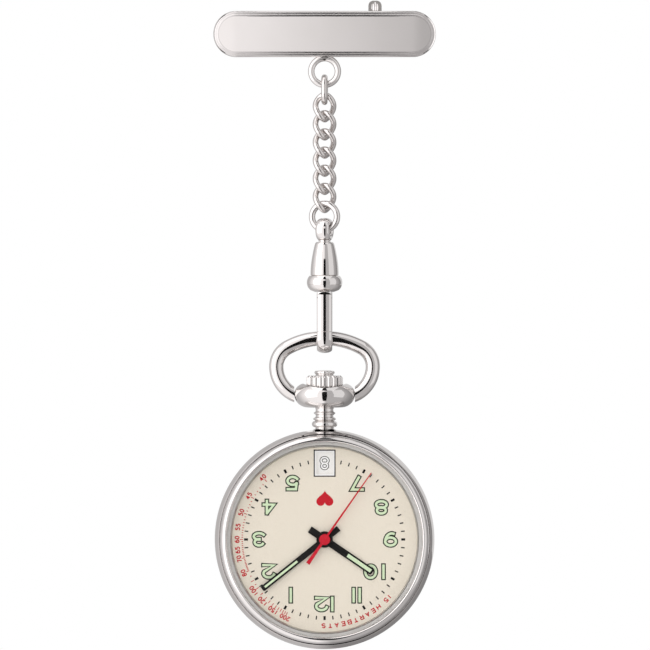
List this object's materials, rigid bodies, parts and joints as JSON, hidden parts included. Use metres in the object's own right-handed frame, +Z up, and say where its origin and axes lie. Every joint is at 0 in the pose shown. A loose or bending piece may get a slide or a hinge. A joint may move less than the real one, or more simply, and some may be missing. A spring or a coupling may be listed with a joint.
{
  "type": "nurse's fob watch",
  "caption": "Hanging fob watch: a bar brooch with hinged pin and turning catch, a short curb chain, a swivel clip and an upside-down quartz pocket watch with date.",
  "frame": {"origin": "middle of the brooch pin's straight stem, on its axis", "axes": "+Z up along the hanging chain, +X along the pin towards its tip, and the dial faces -Y"},
  "size_m": [0.0284, 0.0079, 0.083],
  "materials": {
    "steel_brooch": "bright polished steel",
    "pin_wire": "drawn spring steel wire",
    "steel_chain": "bright polished steel",
    "steel_clip": "bright polished steel",
    "spring_steel": "spring steel wire",
    "steel_case": "bright polished steel",
    "steel_back": "satin with a polished edge",
    "steel_rehaut": "satin grey",
    "crystal_glass": "clear, slightly domed",
    "seal_rubber": "matt",
    "holder_plastic": "moulded, matt",
    "dial_cream": "fine-grained cream lacquer",
    "date_white": "matt white print ground",
    "hand_black": "satin black lacquer",
    "hand_red": "satin red lacquer",
    "movement_nickel": "nickel plated, fine satin",
    "cell_steel": "satin steel can",
    "coil_copper": "lacquered copper wire",
    "stator_steel": "soft iron, satin",
    "board_green": "solder mask",
    "rotor_magnet": "dark sintered magnet",
    "wheel_brass": "fine-grained brass",
    "date_driver_plastic": "moulded, matt",
    "setting_steel": "ground steel"
  },
  "bodies": {
    "brooch": {"brooch_bar": "steel_brooch", "pin_hinge_bracket": "steel_brooch", "pin_hinge_rivet": "steel_brooch", "catch_housing": "steel_brooch"},
    "pin": {"brooch_pin": "pin_wire"},
    "catch": {"catch_lock": "steel_brooch"},
    "jump_link": {"jump_link": "steel_chain"},
    "curb_link_1": {"curb_link_1": "steel_chain"},
    "curb_link_2": {"curb_link_2": "steel_chain"},
    "curb_link_3": {"curb_link_3": "steel_chain"},
    "curb_link_4": {"curb_link_4": "steel_chain"},
    "curb_link_5": {"curb_link_5": "steel_chain"},
    "curb_link_6": {"curb_link_6": "steel_chain"},
    "jump_ring": {"jump_ring": "steel_chain"},
    "eye": {"swivel_eye": "steel_clip"},
    "clip": {"clip_collar": "steel_clip", "clip_hook": "steel_clip", "gate_pin": "steel_clip", "gate_spring": "spring_steel"},
    "gate": {"clip_gate": "steel_clip"},
    "bow": {"bow": "steel_case", "bow_pins": "steel_case"},
    "watch": {"case_middle": "steel_case", "bezel": "steel_case", "crystal": "crystal_glass", "pendant": "steel_case", "crown_gasket": "seal_rubber", "crystal_gasket": "seal_rubber", "rehaut_ring": "steel_rehaut", "case_back_gasket": "seal_rubber", "movement_holder": "holder_plastic", "dial": "dial_cream", "main_plate": "movement_nickel", "train_bridge": "movement_nickel", "movement_screws": "movement_nickel", "battery": "cell_steel", "battery_strap": "movement_nickel", "coil": "coil_copper", "stator": "stator_steel", "circuit_board": "board_green", "quartz_crystal": "cell_steel"},
    "back": {"case_back": "steel_back"},
    "crown": {"crown": "steel_case", "winding_stem": "setting_steel"},
    "sliding_pinion": {"sliding_pinion": "setting_steel"},
    "setting_lever": {"setting_lever": "setting_steel"},
    "seconds": {"seconds_hand": "hand_red", "seconds_wheel": "wheel_brass"},
    "intermediate": {"intermediate_wheel": "wheel_brass"},
    "rotor": {"rotor": "rotor_magnet"},
    "third": {"third_wheel": "wheel_brass"},
    "centre": {"centre_wheel": "wheel_brass"},
    "minute": {"minute_hand": "hand_black", "cannon_pinion": "wheel_brass"},
    "minute_wheel": {"minute_wheel": "wheel_brass"},
    "hour": {"hour_hand": "hand_black", "hour_wheel": "wheel_brass"},
    "setting_wheel": {"setting_wheel": "wheel_brass"},
    "date_driver": {"date_driving_wheel": "date_driver_plastic"},
    "date": {"date_disc": "date_white"}
  },
  "joints": [
    {"name": "pin_hinge", "type": "hinge", "parent": "brooch", "child": "pin", "pos_m": [-0.0085, 0, 0], "axis": [0, 0, 1], "range_deg": [0, 60]},
    {"name": "catch_turn", "type": "hinge", "parent": "brooch", "child": "catch", "pos_m": [0.00646, 0, 0], "axis": [-1, 0, 0], "range_deg": [0, 110]},
    {"name": "jump_link_swing", "type": "hinge", "parent": "brooch", "child": "jump_link", "pos_m": [0, -0.0029, -0.00603], "axis": [0, 1, 0], "range_deg": [-30, 30]},
    {"name": "curb_link_1_swing", "type": "hinge", "parent": "jump_link", "child": "curb_link_1", "pos_m": [0, -0.0029, -0.00993], "axis": [0.0349, 0.9994, 0], "range_deg": [-8, 8]},
    {"name": "curb_link_2_swing", "type": "hinge", "parent": "curb_link_1", "child": "curb_link_2", "pos_m": [0, -0.0029, -0.01219], "axis": [0.4695, 0.8829, 0], "range_deg": [-10, 10]},
    {"name": "curb_link_3_swing", "type": "hinge", "parent": "curb_link_2", "child": "curb_link_3", "pos_m": [0, -0.0029, -0.01365], "axis": [0.788, -0.6157, 0], "range_deg": [-10, 10]},
    {"name": "curb_link_4_swing", "type": "hinge", "parent": "curb_link_3", "child": "curb_link_4", "pos_m": [0, -0.0029, -0.01683], "axis": [0.4695, 0.8829, 0], "range_deg": [-10, 10]},
    {"name": "curb_link_5_swing", "type": "hinge", "parent": "curb_link_4", "child": "curb_link_5", "pos_m": [0, -0.0029, -0.01829], "axis": [0.788, -0.6157, 0], "range_deg": [-10, 10]},
    {"name": "curb_link_6_swing", "type": "hinge", "parent": "curb_link_5", "child": "curb_link_6", "pos_m": [0, -0.0029, -0.02147], "axis": [0.4695, 0.8829, 0], "range_deg": [-10, 10]},
    {"name": "jump_ring_swing", "type": "hinge", "parent": "curb_link_6", "child": "jump_ring", "pos_m": [0, -0.0029, -0.02294], "axis": [0.9613, -0.2756, 0], "range_deg": [-8, 8]},
    {"name": "eye_swing", "type": "hinge", "parent": "jump_ring", "child": "eye", "pos_m": [0, -0.0029, -0.0246], "axis": [-0.2756, -0.9613, 0], "range_deg": [-35, 35]},
    {"name": "clip_swivel", "type": "hinge", "parent": "eye", "child": "clip", "pos_m": [0, -0.0029, -0.03], "axis": [0, 0, 1], "continuous": true},
    {"name": "gate_open", "type": "hinge", "parent": "clip", "child": "gate", "pos_m": [0, -0.00472, -0.03495], "axis": [1, 0, 0], "range_deg": [0, 28], "stiffness_Nm_per_rad": 0.002, "springref_deg": -20.05},
    {"name": "bow_swing", "type": "hinge", "parent": "clip", "child": "bow", "pos_m": [0, -0.0029, -0.04013], "axis": [1, 0, 0], "range_deg": [-30, 30]},
    {"name": "bow_pivot", "type": "hinge", "parent": "bow", "child": "watch", "pos_m": [0, -0.0029, -0.0473], "axis": [1, 0, 0], "range_deg": [-90, 90]},
    {"name": "back_off", "type": "slide", "parent": "watch", "child": "back", "axis": [0, 1, 0], "range_m": [0, 0.005]},
    {"name": "crown_turn", "type": "hinge", "parent": "watch", "child": "sliding_pinion", "pos_m": [0, -0.0029, -0.058], "axis": [0, 0, 1], "continuous": true},
    {"name": "crown_pull", "type": "slide", "parent": "sliding_pinion", "child": "crown", "axis": [0, 0, 1], "range_m": [0, 0.0008]},
    {"name": "setting_lever_turn", "type": "hinge", "parent": "watch", "child": "setting_lever", "pos_m": [0.0034, -0.0021, -0.05763], "axis": [0, 1, 0], "range_deg": [0, 13.7]},
    {"name": "seconds_turn", "type": "hinge", "parent": "watch", "child": "seconds", "pos_m": [0, -0.0029, -0.06583], "axis": [0, 1, 0], "continuous": true},
    {"name": "intermediate_turn", "type": "hinge", "parent": "watch", "child": "intermediate", "pos_m": [0.00173, -0.0029, -0.06789], "axis": [0, 1, 0], "continuous": true},
    {"name": "rotor_turn", "type": "hinge", "parent": "watch", "child": "rotor", "pos_m": [0.00245, -0.0029, -0.07059], "axis": [0, 1, 0], "continuous": true},
    {"name": "third_turn", "type": "hinge", "parent": "watch", "child": "third", "pos_m": [0.00136, -0.0029, -0.06347], "axis": [0, 1, 0], "continuous": true},
    {"name": "centre_turn", "type": "hinge", "parent": "watch", "child": "centre", "pos_m": [0, -0.0029, -0.06583], "axis": [0, 1, 0], "continuous": true},
    {"name": "minute_turn", "type": "hinge", "parent": "watch", "child": "minute", "pos_m": [0, -0.0029, -0.06583], "axis": [0, 1, 0], "continuous": true},
    {"name": "minute_wheel_turn", "type": "hinge", "parent": "watch", "child": "minute_wheel", "pos_m": [0, -0.0029, -0.06343], "axis": [0, 1, 0], "continuous": true},
    {"name": "hour_turn", "type": "hinge", "parent": "watch", "child": "hour", "pos_m": [0, -0.0029, -0.06583], "axis": [0, 1, 0], "continuous": true},
    {"name": "setting_wheel_turn", "type": "hinge", "parent": "watch", "child": "setting_wheel", "pos_m": [0, -0.0029, -0.06043], "axis": [0, 1, 0], "continuous": true},
    {"name": "date_driver_turn", "type": "hinge", "parent": "watch", "child": "date_driver", "pos_m": [0.00351, -0.0029, -0.06785], "axis": [0, 1, 0], "continuous": true},
    {"name": "date_turn", "type": "hinge", "parent": "watch", "child": "date", "pos_m": [0, -0.0029, -0.06583], "axis": [0, 1, 0], "continuous": true}
  ],
  "couplings": [
    {"joint": "intermediate_turn", "follows": "seconds_turn", "ratio": -5},
    {"joint": "rotor_turn", "follows": "seconds_turn", "ratio": 30},
    {"joint": "third_turn", "follows": "seconds_turn", "ratio": -0.13333},
    {"joint": "centre_turn", "follows": "seconds_turn", "ratio": 0.016667},
    {"joint": "minute_wheel_turn", "follows": "minute_turn", "ratio": -0.33333},
    {"joint": "hour_turn", "follows": "minute_turn", "ratio": 0.083333},
    {"joint": "setting_wheel_turn", "follows": "minute_turn", "ratio": 0.5},
    {"joint": "date_driver_turn", "follows": "minute_turn", "ratio": -0.041667},
    {"joint": "date_turn", "follows": "minute_turn", "ratio": -0.0013441},
    {"joint": "setting_lever_turn", "follows": "crown_pull", "rad_per_m": 297}
  ]
}
